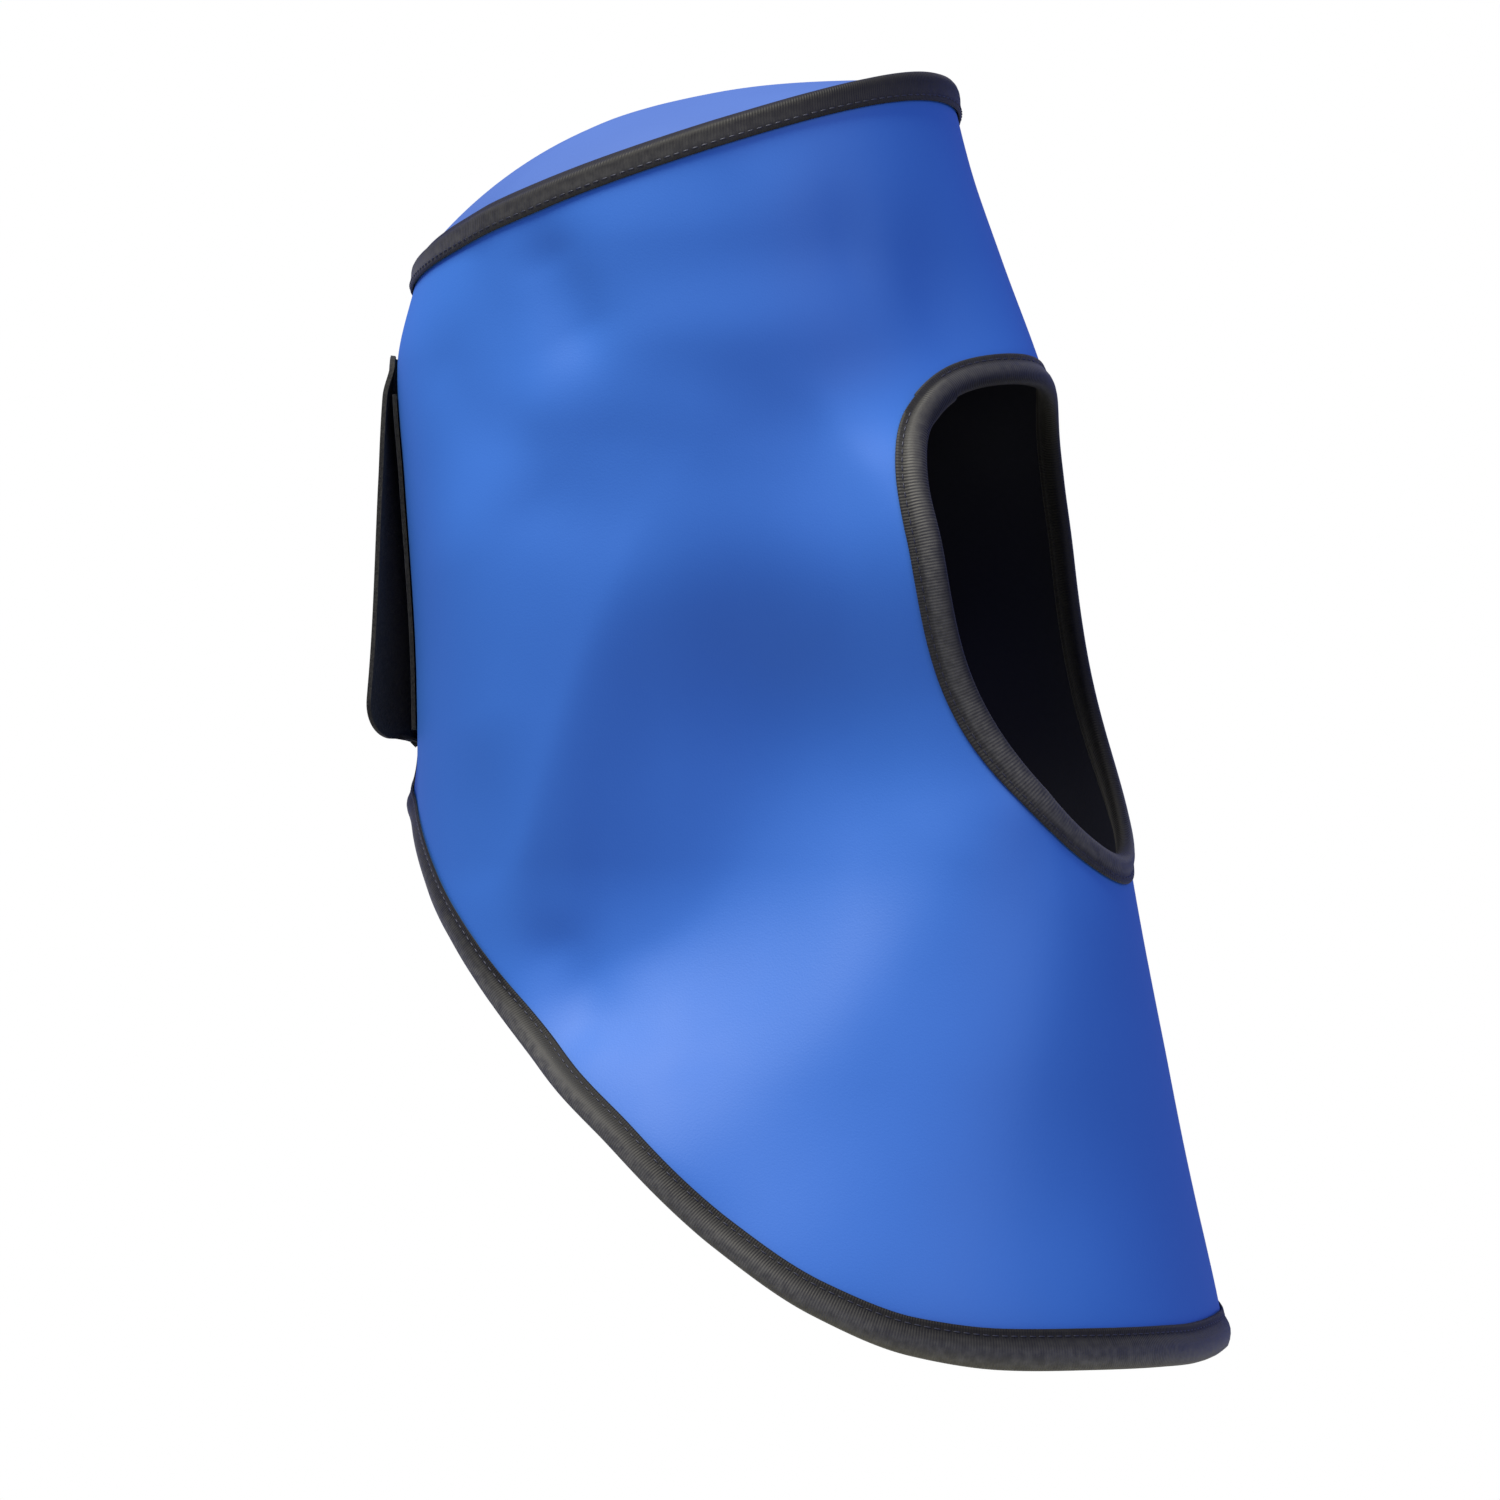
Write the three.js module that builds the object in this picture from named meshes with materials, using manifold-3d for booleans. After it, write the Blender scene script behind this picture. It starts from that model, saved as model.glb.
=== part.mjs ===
// Protective hood of lead-rubber sheet with a face window, as it stands when worn.
// Millimetres, +Z up, front towards -Y; the origin lies under the middle of the crown.
import * as THREE from "three";
import Module from "manifold-3d";

const CLOTH = 2; // coated lead-rubber sheet
const TAPE = 1.2; // binding tape
const TAPE_LEG = 8.5; // how far a binding reaches over the sheet
const GAP = 0.8; // play between sewn pieces
const SLIT_HALF = 5; // centre back to the cut edge of the sheet
const SLIT_CORNER = 12; // rounding of the sheet where slit and hem meet
const RIDGE = { reach: 6, spread: 20, from: -15, full: -100 }; // back edges stand out once past the crown

const CROWN = { middle: -29.3, rise: 30.2, dip: 3, dome: 28.9, fullness: 0.9, lean: 0.45 };
const CROWN_TAPE = { wallLeg: 4.2, topLeg: 3.2, ease: 0.2 }; // reach down the wall and in over the crown
const WINDOW = { height: -154.2, half: 55.9, side: 1.3, up: 46.2, lean: 4.7, peak: 11.6, down: 102.8 };
const WINDOW_ROUND = { up: 3.8, down: 2 };
const WINDOW_STEPS = 46;
const TAB = { sewn: 42, free: 45, top: -84, foot: -220, thick: 1.6, corner: 14, lift: 13.6, clear: 2.6, taper: 0.4 };
const STRIP = { near: 15.5, far: 42, top: -98, foot: -214, thick: 1.3 };

// Level sections of the wall's outer face: reach backwards, place of the widest line, reach forwards.
const SECTIONS = [
  { height: 10, back: 90, widest: 0, front: 92, half: 70 },
  { height: -23, back: 93, widest: 2, front: 101, half: 75 },
  { height: -53, back: 96, widest: 5, front: 112, half: 84 },
  { height: -88, back: 103, widest: 8, front: 126, half: 92 },
  { height: -128, back: 99, widest: 10, front: 139.5, half: 96 },
  { height: -198, back: 94, widest: 10, front: 150.5, half: 95 },
  { height: -258, back: 93, widest: 12, front: 158, half: 97 },
  { height: -328, back: 94, widest: 15, front: 171, half: 114 },
  { height: -430, back: 95, widest: 20, front: 191, half: 133 },
];
const SIDE_BLEND = 0.45; // how softly the front reach passes into the back reach at the sides

// Cut lower edge of the sheet, by degrees from the front.
const HEM = [
  { turn: 0, height: -417.8 },
  { turn: 5, height: -417.6 },
  { turn: 15, height: -416.2 },
  { turn: 28, height: -414.5 },
  { turn: 40, height: -413 },
  { turn: 50, height: -408.4 },
  { turn: 60, height: -396.3 },
  { turn: 70, height: -376.3 },
  { turn: 84, height: -342.4 },
  { turn: 96, height: -322.5 },
  { turn: 110, height: -303.2 },
  { turn: 125, height: -281 },
  { turn: 150, height: -251.5 },
  { turn: 180, height: -235 },
];

// Hollow of the neck by degrees to either side: heights where it starts, is deepest and ends, and its depth.
const NECK = [
  { turn: 20, start: -180, middle: -215, end: -300, depth: 0 },
  { turn: 36, start: -145, middle: -207, end: -352, depth: 7 },
  { turn: 51, start: -97, middle: -221, end: -365, depth: 18 },
  { turn: 66, start: -106, middle: -246, end: -382, depth: 23 },
  { turn: 80, start: -137, middle: -280, end: -349, depth: 20 },
  { turn: 89, start: -175, middle: -288, end: -344, depth: 15 },
  { turn: 97, start: -217, middle: -299, end: -345, depth: 9.5 },
  { turn: 106, start: -258, middle: -303, end: -342, depth: 5.5 },
  { turn: 118, start: -268, middle: -298, end: -340, depth: 2 },
  { turn: 132, start: -262, middle: -288, end: -335, depth: 0 },
];
const LEFT_NECK = { from: 36, full: 75, share: 0.95 }; // the wearer's left sits smoother beside the window

// Soft folds, each along a line from one place to another; a swelling has a minus depth.
// Minus degrees are the wearer's right.
const FOLDS = [
  { turnA: -20, heightA: -275, turnB: -51, heightB: -400, spread: 42, depth: -5.7 },
  { turnA: -99, heightA: -109, turnB: -75, heightB: -111, spread: 14, depth: -1.8 },
  { turnA: -40, heightA: -55, turnB: -108, heightB: -81, spread: 23, depth: 5.3 },
  { turnA: -17, heightA: -94, turnB: -82, heightB: -126, spread: 40, depth: 12.6 },
  { turnA: -88, heightA: -383, turnB: -32, heightB: -410, spread: 42, depth: -10.1 },
  { turnA: -120, heightA: -160, turnB: -113, heightB: -208, spread: 25, depth: -2.2 },
  { turnA: -68, heightA: -199, turnB: -47, heightB: -224, spread: 43, depth: 7.3 },
  { turnA: -37, heightA: -256, turnB: -74, heightB: -351, spread: 18, depth: -2.9 },
  { turnA: -16, heightA: -69, turnB: -51, heightB: -114, spread: 41, depth: 7.7 },
  { turnA: -117, heightA: -117, turnB: -77, heightB: -108, spread: 22, depth: 2.3 },
  { turnA: -106, heightA: -130, turnB: -85, heightB: -129, spread: 14, depth: -1.3 },
  { turnA: -124, heightA: -93, turnB: -102, heightB: -136, spread: 16, depth: 1.7 },
  { turnA: 60, heightA: -100, turnB: 84, heightB: -126, spread: 32, depth: 8 },
  { turnA: 88, heightA: -380, turnB: 46, heightB: -408, spread: 38, depth: -6 },
  { turnA: 44, heightA: -258, turnB: 75, heightB: -352, spread: 20, depth: -2 },
  { turnA: 118, heightA: -160, turnB: 112, heightB: -207, spread: 25, depth: -2.5 },
  { turnA: 70, heightA: -200, turnB: 56, heightB: -224, spread: 34, depth: 4 },
];
const FOLD_SCALE = 1.75; // millimetres of wall to a degree

const UP = new THREE.Vector3(0, 0, 1);

// Smooth reading of a table column that never overshoots its rows.
function read(rows, key, column, at) {
  const sorted = [...rows].sort((a, b) => a[key] - b[key]);
  const x = sorted.map((row) => row[key]);
  const y = sorted.map((row) => row[column]);
  const rate = x.slice(1).map((value, i) => (y[i + 1] - y[i]) / (value - x[i]));
  const slope = x.map((value, i) => {
    if (i === 0) return rate[0];
    if (i === x.length - 1) return rate[i - 1];
    if (rate[i - 1] * rate[i] <= 0) return 0;
    const before = x[i] - x[i - 1];
    const after = x[i + 1] - x[i];
    const total = 3 * (before + after);
    return total / ((2 * after + before) / rate[i - 1] + (after + 2 * before) / rate[i]);
  });
  const place = THREE.MathUtils.clamp(at, x[0], x[x.length - 1]);
  let i = 0;
  while (i < x.length - 2 && place > x[i + 1]) i += 1;
  const span = x[i + 1] - x[i];
  const t = (place - x[i]) / span;
  const ends = y[i] * (1 + 2 * t) * (1 - t) ** 2 + y[i + 1] * t * t * (3 - 2 * t);
  return ends + span * t * (1 - t) * (slope[i] * (1 - t) - slope[i + 1] * t);
}

const halfAt = (height) => read(SECTIONS, "height", "half", height);

const ramp = (t) => THREE.MathUtils.smoothstep(t, 0, 1);

// How far the settled sheet lies in from its plain sections: the pinched neck and the soft folds.
function hollow(degrees, height) {
  const beside = Math.abs(degrees);
  const start = read(NECK, "turn", "start", beside);
  const middle = read(NECK, "turn", "middle", beside);
  const end = read(NECK, "turn", "end", beside);
  let depth = read(NECK, "turn", "depth", beside);
  if (degrees > 0) {
    depth *= LEFT_NECK.share * THREE.MathUtils.smoothstep(beside, LEFT_NECK.from, LEFT_NECK.full);
  }
  const entering = THREE.MathUtils.clamp((start - height) / (start - middle), 0, 1);
  const leaving = (middle - height) / (middle - end);
  let total = depth * (height > middle ? ramp(entering) : 1 - ramp(leaving));
  for (const fold of FOLDS) {
    const runX = (fold.turnB - fold.turnA) * FOLD_SCALE;
    const runZ = fold.heightB - fold.heightA;
    const length = Math.hypot(runX, runZ);
    const offX = (degrees - fold.turnA) * FOLD_SCALE;
    const offZ = height - fold.heightA;
    const along = (offX * runX + offZ * runZ) / length;
    const across = (offX * runZ - offZ * runX) / length;
    const beyond = Math.max(-along, along - length, 0);
    total += fold.depth * Math.exp(-(across * across + beyond * beyond) / fold.spread ** 2);
  }
  return total;
}

// Outer face of the wall at a turn from the front (radians, plus to the wearer's left) and a height.
function wallPoint(turn, height) {
  const widest = read(SECTIONS, "height", "widest", height);
  const front = read(SECTIONS, "height", "front", height) - widest;
  const back = read(SECTIONS, "height", "back", height) + widest;
  const reach = back + (front - back) * THREE.MathUtils.smoothstep(Math.cos(turn), -SIDE_BLEND, SIDE_BLEND);
  const degrees = THREE.MathUtils.radToDeg(turn);
  const fromBack = (180 - Math.abs(degrees)) / RIDGE.spread;
  const grown = 1 - THREE.MathUtils.smoothstep(height, RIDGE.full, RIDGE.from);
  const ridge = RIDGE.reach * grown * Math.exp(-fromBack * fromBack);
  const shrink = hollow(degrees, height);
  const x = (halfAt(height) - shrink) * Math.sin(turn);
  const y = -widest - (reach - shrink) * Math.cos(turn) + ridge;
  return new THREE.Vector3(x, y, height);
}

function wallRates(turn, height) {
  const byTurn = wallPoint(turn + 1e-3, height).sub(wallPoint(turn - 1e-3, height)).divideScalar(2e-3);
  const byHeight = wallPoint(turn, height + 0.1).sub(wallPoint(turn, height - 0.1)).divideScalar(0.2);
  return { byTurn, byHeight, normal: byTurn.clone().cross(byHeight).normalize() };
}

// A point at a distance off the wall's outer face.
function offWall(turn, height, distance) {
  return wallPoint(turn, height).addScaledVector(wallRates(turn, height).normal, distance);
}

const topAt = (turn) => CROWN.middle + CROWN.rise * Math.cos(turn) - CROWN.dip * Math.sin(turn) ** 2;
const slitTurn = (height) => Math.PI - Math.asin(SLIT_HALF / halfAt(height));

// Turns of the wall's upright lines, closer together at the rounded corners of the slit.
const END_TURN = slitTurn(HEM[HEM.length - 1].height);
const CORNER_STEPS = [0, 0.15, 0.4, 0.7, 1, 1.5, 2.1];
const cornerTurn = (share) => END_TURN - (share * SLIT_CORNER) / halfAt(-230);
const MIDDLE_STEPS = 45;
const turns = CORNER_STEPS.map((share) => -cornerTurn(share));
for (let i = 1; i < MIDDLE_STEPS; i += 1) turns.push(cornerTurn(2.1) * ((2 * i) / MIDDLE_STEPS - 1));
for (const share of [...CORNER_STEPS].reverse()) turns.push(cornerTurn(share));

function hemAt(turn) {
  const height = read(HEM, "turn", "height", THREE.MathUtils.radToDeg(Math.abs(turn)));
  const inset = (END_TURN - Math.abs(turn)) * halfAt(-230);
  const short = Math.max(SLIT_CORNER - inset, 0);
  return height + SLIT_CORNER - Math.sqrt(Math.max(SLIT_CORNER ** 2 - short ** 2, 0));
}

// Keeps the slit edge straight up the back: the end lines follow the cut, the others share the change.
function turnAt(turn, height) {
  return (turn / END_TURN) * slitTurn(height);
}

// Closed solid between a front and a back grid of points, lines of points side by side.
function sheet(front, back, ring) {
  const lines = front.length;
  const count = front[0].length;
  const corners = [];
  const tri = (a, b, c) => {
    const flat = a.distanceTo(b) < 1e-6 || b.distanceTo(c) < 1e-6 || c.distanceTo(a) < 1e-6;
    if (!flat) corners.push(a, b, c);
  };
  const quad = (a, b, c, d) => {
    tri(a, b, c);
    tri(a, c, d);
  };
  for (let i = 0; i < (ring ? lines : lines - 1); i += 1) {
    const j = (i + 1) % lines;
    for (let k = 0; k < count - 1; k += 1) {
      quad(front[i][k], front[j][k], front[j][k + 1], front[i][k + 1]);
      quad(back[i][k + 1], back[j][k + 1], back[j][k], back[i][k]);
    }
    quad(back[i][0], back[j][0], front[j][0], front[i][0]);
    quad(front[i][count - 1], front[j][count - 1], back[j][count - 1], back[i][count - 1]);
  }
  for (let k = 0; k < (ring ? 0 : count - 1); k += 1) {
    quad(front[0][k], front[0][k + 1], back[0][k + 1], back[0][k]);
    quad(back[lines - 1][k], back[lines - 1][k + 1], front[lines - 1][k + 1], front[lines - 1][k]);
  }
  return new THREE.BufferGeometry().setFromPoints(corners);
}

const wasm = await Module();
wasm.setup();

function toManifold(geometry) {
  const points = geometry.attributes.position;
  const known = new Map();
  const vertProperties = [];
  const triVerts = [];
  for (let i = 0; i < points.count; i += 1) {
    const place = [points.getX(i), points.getY(i), points.getZ(i)];
    const key = place.map((value) => Math.round(value * 1e4)).join(" ");
    if (!known.has(key)) {
      known.set(key, known.size);
      vertProperties.push(...place);
    }
    triVerts.push(known.get(key));
  }
  const mesh = { numProp: 3, vertProperties: new Float32Array(vertProperties), triVerts: new Uint32Array(triVerts) };
  return new wasm.Manifold(new wasm.Mesh(mesh));
}

function fromManifold(solid) {
  const mesh = solid.getMesh();
  const geometry = new THREE.BufferGeometry();
  geometry.setAttribute("position", new THREE.BufferAttribute(mesh.vertProperties, 3));
  geometry.setIndex(new THREE.BufferAttribute(mesh.triVerts, 1));
  return geometry;
}

// Wall: one sheet from slit edge to slit edge, from the hem up to the crown.
const WALL_ROWS = 25;
const HEM_CROWDING = 1.22;
const wallLines = turns.map((turn) => {
  const foot = hemAt(turn);
  const top = topAt(turn);
  const line = [];
  for (let row = 0; row <= WALL_ROWS; row += 1) {
    const height = foot + (top - foot) * (row / WALL_ROWS) ** HEM_CROWDING;
    line.push({ turn: turnAt(turn, height), height });
  }
  return line;
});
const wallLayer = (depth) => wallLines.map((line) => line.map((spot) => offWall(spot.turn, spot.height, depth)));
const fullWall = sheet(wallLayer(0), wallLayer(-CLOTH), false);

// Window: an egg in the front view, fuller above than below, its peak a little to one side.
class WindowCurve extends THREE.Curve {
  getPoint(share) {
    const angle = -2 * Math.PI * share;
    const above = Math.sin(angle) > 0;
    const power = 2 / (above ? WINDOW_ROUND.up : WINDOW_ROUND.down);
    const across = Math.sign(Math.cos(angle)) * Math.abs(Math.cos(angle)) ** power;
    const tall = above ? WINDOW.up + WINDOW.lean * across : WINDOW.down;
    const peak = above ? WINDOW.peak * (1 - across ** 2) : 0;
    const up = tall * Math.sign(Math.sin(angle)) * Math.abs(Math.sin(angle)) ** power + peak;
    return new THREE.Vector3(WINDOW.side + WINDOW.half * across, 0, WINDOW.height + up);
  }
}
const windowCurve = new WindowCurve();
windowCurve.arcLengthDivisions = 2000;
const windowSpots = windowCurve
  .getSpacedPoints(WINDOW_STEPS)
  .slice(0, WINDOW_STEPS)
  .map((point) => ({ turn: Math.asin(point.x / halfAt(point.z)), height: point.z }));
const plugLine = (spot) => [
  wallPoint(0, WINDOW.height).add(new THREE.Vector3(0, 60, 0)),
  offWall(spot.turn, spot.height, -CLOTH - 3),
  offWall(spot.turn, spot.height, 3),
  wallPoint(0, WINDOW.height).add(new THREE.Vector3(0, -30, 0)),
];
const plugLines = windowSpots.map(plugLine);

// Closed skin round the plug that the window is cut with.
function skin(lines) {
  const corners = [];
  for (let i = 0; i < lines.length; i += 1) {
    const a = lines[i];
    const b = lines[(i + 1) % lines.length];
    corners.push(a[0], a[1], b[1]);
    corners.push(a[1], b[2], b[1], a[1], a[2], b[2]);
    corners.push(a[2], a[3], b[2]);
  }
  return new THREE.BufferGeometry().setFromPoints(corners);
}

const wallSolid = toManifold(fullWall).subtract(toManifold(skin(plugLines)));

// Stations of a tape folded round a cut edge: distance in from the edge, height off the outer face.
const OVER = GAP + TAPE;
const FOLD = [
  { outer: [TAPE_LEG, OVER], inner: [TAPE_LEG, GAP] },
  { outer: [0.6, OVER], inner: [0, GAP] },
  { outer: [-OVER, 0], inner: [-GAP, 0] },
  { outer: [-OVER, -CLOTH], inner: [-GAP, -CLOTH] },
  { outer: [0.6, -CLOTH - OVER], inner: [0, -CLOTH - GAP] },
  { outer: [TAPE_LEG, -CLOTH - OVER], inner: [TAPE_LEG, -CLOTH - GAP] },
];

// Tape folded round an edge of the wall; the sheet lies to the left of the way along the edge.
function binding(spots, ring) {
  const points = spots.map((spot) => wallPoint(spot.turn, spot.height));
  const last = spots.length - 1;
  const layer = (side) =>
    spots.map((spot, i) => {
      const before = ring ? points[(i + last) % spots.length] : points[Math.max(i - 1, 0)];
      const after = ring ? points[(i + 1) % spots.length] : points[Math.min(i + 1, last)];
      const { byTurn, byHeight, normal } = wallRates(spot.turn, spot.height);
      const inward = normal.clone().cross(after.clone().sub(before)).normalize();
      const tt = byTurn.dot(byTurn);
      const th = byTurn.dot(byHeight);
      const hh = byHeight.dot(byHeight);
      const det = tt * hh - th * th;
      const turnStep = (inward.dot(byTurn) * hh - inward.dot(byHeight) * th) / det;
      const heightStep = (inward.dot(byHeight) * tt - inward.dot(byTurn) * th) / det;
      return FOLD.map((station) => {
        const [inside, off] = station[side];
        return offWall(spot.turn + turnStep * inside, spot.height + heightStep * inside, off);
      });
    });
  return sheet(layer("inner"), layer("outer"), ring);
}

// Hem: down the right slit edge, along the hem and up the left slit edge.
const SLIT_ROWS = 12;
const slitTop = topAt(END_TURN) - CROWN_TAPE.wallLeg - 1;
const slitFoot = hemAt(END_TURN);
const rightEdge = [];
for (let row = 0; row < SLIT_ROWS; row += 1) {
  const height = slitTop + ((slitFoot - slitTop) * row) / SLIT_ROWS;
  rightEdge.push({ turn: -slitTurn(height), height });
}
const leftEdge = rightEdge.map((spot) => ({ turn: -spot.turn, height: spot.height })).reverse();
const hemSpots = turns.map((turn) => ({ turn: turnAt(turn, hemAt(turn)), height: hemAt(turn) }));

// Crown: a dome over the wall's top edge, fuller at the back.
function crownPoint(share, turn, lift) {
  const rim = wallPoint(turn, topAt(turn));
  const point = new THREE.Vector3(0, 0, CROWN.middle).lerp(rim, share);
  const lean = 1 + (CROWN.lean * point.y) / 95;
  point.z += GAP + CLOTH + CROWN.dome * (1 - share * share) ** CROWN.fullness * lean + lift;
  return point;
}
const CROWN_SHARES = [0, 0.44, 0.8, 1];
const crownTurns = turns.map((turn) => turnAt(turn, topAt(turn)));
const crownLayer = (lift) => crownTurns.map((turn) => CROWN_SHARES.map((share) => crownPoint(share, turn, lift)));

// Crown tape: an angle over the corner of crown and wall.
const crownStations = (turn, off) => {
  const top = topAt(turn);
  const rim = wallPoint(turn, top);
  const level = wallRates(turn, top).normal;
  level.setZ(0).normalize();
  const share = 1 - CROWN_TAPE.topLeg / Math.hypot(rim.x, rim.y);
  const corner = rim.clone().addScaledVector(UP, GAP + CLOTH);
  const outer = off > OVER;
  return [
    offWall(turn, top - CROWN_TAPE.wallLeg, off),
    offWall(turn, top, off),
    corner.clone().addScaledVector(level, off).addScaledVector(UP, outer ? 0 : GAP),
    corner.clone().addScaledVector(level, outer ? 0.6 : 0).addScaledVector(UP, off),
    crownPoint(share, turn, off * 1.1),
  ];
};
const crownTape = (off) => crownTurns.map((turn) => crownStations(turn, off));

// Back closure: both pieces follow the back of the wall, x counted to the wearer's left.
const backTurn = (x, height) => Math.PI - Math.asin(x / halfAt(height));

function tabSpot(across, along, off) {
  const height = TAB.foot + (TAB.top - TAB.foot) * along;
  const edge = Math.min(height - TAB.foot, (TAB.top - height) * TAB.taper);
  const short = Math.max(TAB.corner - edge, 0);
  const rounded = TAB.corner - Math.sqrt(TAB.corner ** 2 - short ** 2);
  const x = TAB.sewn - (TAB.sewn + TAB.free - rounded) * across;
  const seat = 0.5 + (TAB.clear - 0.5) * (1 - THREE.MathUtils.smoothstep(x, 14, 24));
  const loose = THREE.MathUtils.clamp((-18 - x) / (TAB.free - 18), 0, 1) ** 1.4;
  const drop = THREE.MathUtils.clamp((-88 - height) / 117, 0, 1.15) ** 0.9;
  return offWall(backTurn(x, height), height, seat + TAB.lift * loose * drop + off);
}
const TAB_ACROSS = 9;
const TAB_ALONG = [0, 0.01, 0.035, 0.1, 0.3, 0.52, 0.74, 0.85, 0.93, 0.98, 1];
const tabLayer = (off) => {
  const lines = [];
  for (let i = 0; i <= TAB_ACROSS; i += 1) {
    lines.push(TAB_ALONG.map((along) => tabSpot(i / TAB_ACROSS, along, off)));
  }
  return lines;
};

const stripLayer = (off) => {
  const lines = [];
  for (let i = 0; i <= 4; i += 1) {
    const x = -STRIP.near - ((STRIP.far - STRIP.near) * i) / 4;
    const line = [];
    for (let k = 0; k <= 7; k += 1) {
      const height = STRIP.foot + ((STRIP.top - STRIP.foot) * k) / 7;
      line.push(offWall(backTurn(x, height), height, GAP + off));
    }
    lines.push(line);
  }
  return lines;
};

const finish = (color, roughness) => new THREE.MeshStandardMaterial({ color, roughness, metalness: 0 });
const cloth = finish(0x3f6cc4, 0.5);
const tape = finish(0x1d1d21, 0.75);
const nap = finish(0x101012, 0.95);

const group = new THREE.Group();
function put(name, geometry, material) {
  const mesh = new THREE.Mesh(geometry, material);
  mesh.name = name;
  group.add(mesh);
}
put("crown_panel", sheet(crownLayer(-CLOTH), crownLayer(0), true), cloth);
put("crown_binding", sheet(crownTape(OVER + CROWN_TAPE.ease), crownTape(GAP + CROWN_TAPE.ease), true), tape);
put("hood_wall", fromManifold(wallSolid), cloth);
put("window_binding", binding(windowSpots, true), tape);
put("hem_binding", binding([...rightEdge, ...hemSpots, ...leftEdge], false), tape);
put("closure_tab", sheet(tabLayer(TAB.thick), tabLayer(0), false), nap);
put("loop_strip", sheet(stripLayer(STRIP.thick), stripLayer(0), false), nap);

export default group;
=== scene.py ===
import math

import bpy
import numpy as np
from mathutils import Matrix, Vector


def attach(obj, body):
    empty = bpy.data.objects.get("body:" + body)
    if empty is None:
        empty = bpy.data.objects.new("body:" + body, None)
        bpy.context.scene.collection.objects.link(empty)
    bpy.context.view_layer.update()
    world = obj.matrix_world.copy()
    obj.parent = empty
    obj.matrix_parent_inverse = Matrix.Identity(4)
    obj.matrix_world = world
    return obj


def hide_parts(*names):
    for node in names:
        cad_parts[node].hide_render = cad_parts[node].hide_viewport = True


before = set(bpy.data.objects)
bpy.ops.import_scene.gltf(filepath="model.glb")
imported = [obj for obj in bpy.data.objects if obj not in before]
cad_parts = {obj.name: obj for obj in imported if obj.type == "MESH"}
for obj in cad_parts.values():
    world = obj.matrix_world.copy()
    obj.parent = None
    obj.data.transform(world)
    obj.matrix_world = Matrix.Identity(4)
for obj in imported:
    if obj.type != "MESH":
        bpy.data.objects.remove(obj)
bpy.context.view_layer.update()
bpy.ops.object.select_all(action="DESELECT")

# Hood wall: one sheet of lead rubber faced with blue coated cloth and lined in black, bent into a round
# from slit edge to slit edge. It is cut from the flat, so it keeps broad soft hollows and no tight
# creases; the face window is cut out of its front before the edges are bound.
MM = 0.001  # sizes and tables are in millimetres, meshes in metres
SECTIONS = [  # height, back, widest, front and half width of a level section
    (10, 90, 0, 92, 70),
    (-23, 93, 2, 101, 75),
    (-53, 96, 5, 112, 84),
    (-88, 103, 8, 126, 92),
    (-128, 99, 10, 139.5, 96),
    (-198, 94, 10, 150.5, 95),
    (-258, 93, 12, 158, 97),
    (-328, 94, 15, 171, 114),
    (-430, 95, 20, 191, 133),
]
BACK, WIDEST, FRONT, HALF_WIDTH = 1, 2, 3, 4  # columns of the sections
HEM = [  # degrees from the front, height of the cut edge
    (0, -417.8),
    (5, -417.6),
    (15, -416.2),
    (28, -414.5),
    (40, -413),
    (50, -408.4),
    (60, -396.3),
    (70, -376.3),
    (84, -342.4),
    (96, -322.5),
    (110, -303.2),
    (125, -281),
    (150, -251.5),
    (180, -235),
]
HEM_HEIGHT = 1  # column of the hem
NECK = [  # degrees to either side, heights where the neck's hollow starts, is deepest and ends, depth
    (20, -180, -215, -300, 0),
    (36, -145, -207, -352, 7),
    (51, -97, -221, -365, 18),
    (66, -106, -246, -382, 23),
    (80, -137, -280, -349, 20),
    (89, -175, -288, -344, 15),
    (97, -217, -299, -345, 9.5),
    (106, -258, -303, -342, 5.5),
    (118, -268, -298, -340, 2),
    (132, -262, -288, -335, 0),
]
LEFT_NECK = (36, 75)  # degrees over which the hollow sets in on the left
LEFT_NECK_DEPTH = 0.95  # as a share of the depth on the right
FOLDS = [  # degrees and height of one end and of the other, spread, depth; a swelling is minus
    (-20, -275, -51, -400, 42, -5.7),  # crest of the bib, right
    (-99, -109, -75, -111, 14, -1.8),  # beside the top of the window
    (-99, -60, -94, -80, 13, 3.1),
    (-40, -55, -108, -81, 23, 5.3),
    (-17, -94, -82, -126, 40, 12.6),  # flat above the window
    (-88, -383, -32, -410, 42, -10.1),  # flare of the bib
    (-120, -160, -113, -208, 25, -2.2),  # between the window and the tab
    (-68, -199, -47, -224, 43, 7.3),  # beside the foot of the window
    (-37, -256, -74, -351, 18, -2.9),  # fold up from the flare
    (-97, -289, -90, -308, 12, 2.9),
    (-34, -132, -28, -236, 17, -3.8),  # edge of the window
    (-16, -69, -51, -114, 41, 7.7),
    (-117, -117, -77, -108, 22, 2.3),
    (-106, -130, -85, -129, 14, -1.3),
    (-124, -93, -102, -136, 16, 1.7),
    (-178, -224, -168, -240, 14, -3),  # foot of the slit
    (-114, -39, -66, -20, 14, -2),  # under the crown tape
    (-66, -398, -20, -426, 24, -3),  # low on the bib
    (60, -100, 84, -126, 32, 8),  # the same on the left, calmer
    (88, -380, 46, -408, 38, -6),
    (44, -258, 75, -352, 20, -2),
    (118, -160, 112, -207, 25, -2.5),
    (70, -200, 56, -224, 34, 4),
]
FOLD_SCALE = 1.75  # millimetres round the wall to a degree
SIDE_BLEND = 0.45  # cosine of the turn within which the back section runs into the front one
RIDGE = 6.0  # how far the wall stands out along the slit
RIDGE_SPREAD = 20.0  # degrees to either side
RIDGE_GROWS = (-100, -15)  # heights from which it is full and where it starts
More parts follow.
